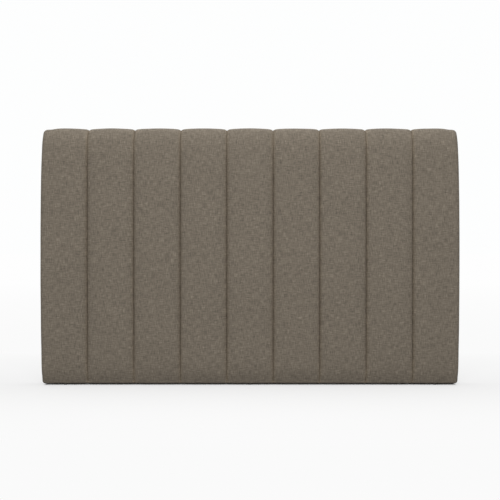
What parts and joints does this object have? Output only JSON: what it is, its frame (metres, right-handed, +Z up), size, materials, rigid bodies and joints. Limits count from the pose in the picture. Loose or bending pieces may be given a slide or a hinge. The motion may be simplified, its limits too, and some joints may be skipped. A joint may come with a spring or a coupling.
{
  "type": "headboard",
  "caption": "Wide upholstered headboard with upright padded channels in grey-taupe woven cloth over a timber frame, standing on low floor glides.",
  "frame": {"origin": "on the floor under the middle of the headboard's width and depth", "axes": "+X along the width, -Y out of the padded front, +Y towards the wall, +Z up"},
  "size_m": [1.8, 0.1, 1.1154],
  "materials": {
    "linen_weave": "matte",
    "fibre_wadding": "matte",
    "pad_foam": "matte",
    "pine": "matte",
    "plywood": "matte",
    "beech": "matte",
    "dust_cloth": "matte",
    "zinc_steel": "satin",
    "glide_plastic": "matte"
  },
  "bodies": {
    "root": {"channel_cover_1": "linen_weave", "channel_cover_2": "linen_weave", "channel_cover_3": "linen_weave", "channel_cover_4": "linen_weave", "channel_cover_5": "linen_weave", "channel_cover_6": "linen_weave", "channel_cover_7": "linen_weave", "channel_cover_8": "linen_weave", "channel_cover_9": "linen_weave", "left_side_border": "linen_weave", "right_side_border": "linen_weave", "channel_wadding_1": "fibre_wadding", "channel_wadding_2": "fibre_wadding", "channel_wadding_3": "fibre_wadding", "channel_wadding_4": "fibre_wadding", "channel_wadding_5": "fibre_wadding", "channel_wadding_6": "fibre_wadding", "channel_wadding_7": "fibre_wadding", "channel_wadding_8": "fibre_wadding", "channel_wadding_9": "fibre_wadding", "left_side_wadding": "fibre_wadding", "right_side_wadding": "fibre_wadding", "channel_foam_1": "pad_foam", "channel_foam_2": "pad_foam", "channel_foam_3": "pad_foam", "channel_foam_4": "pad_foam", "channel_foam_5": "pad_foam", "channel_foam_6": "pad_foam", "channel_foam_7": "pad_foam", "channel_foam_8": "pad_foam", "channel_foam_9": "pad_foam", "plinth_rail": "pine", "top_rail": "pine", "left_stile": "pine", "left_upright": "pine", "centre_upright": "pine", "right_upright": "pine", "right_stile": "pine", "left_upper_corner_block": "pine", "left_lower_corner_block": "pine", "right_upper_corner_block": "pine", "right_lower_corner_block": "pine", "face_board": "plywood", "frame_dowels": "beech", "dust_cover": "dust_cloth", "face_board_screws": "zinc_steel", "cover_staples": "zinc_steel", "dust_cover_staples": "zinc_steel", "insert_nuts": "zinc_steel", "glide_nails": "zinc_steel", "floor_glides": "glide_plastic"}
  },
  "joints": []
}
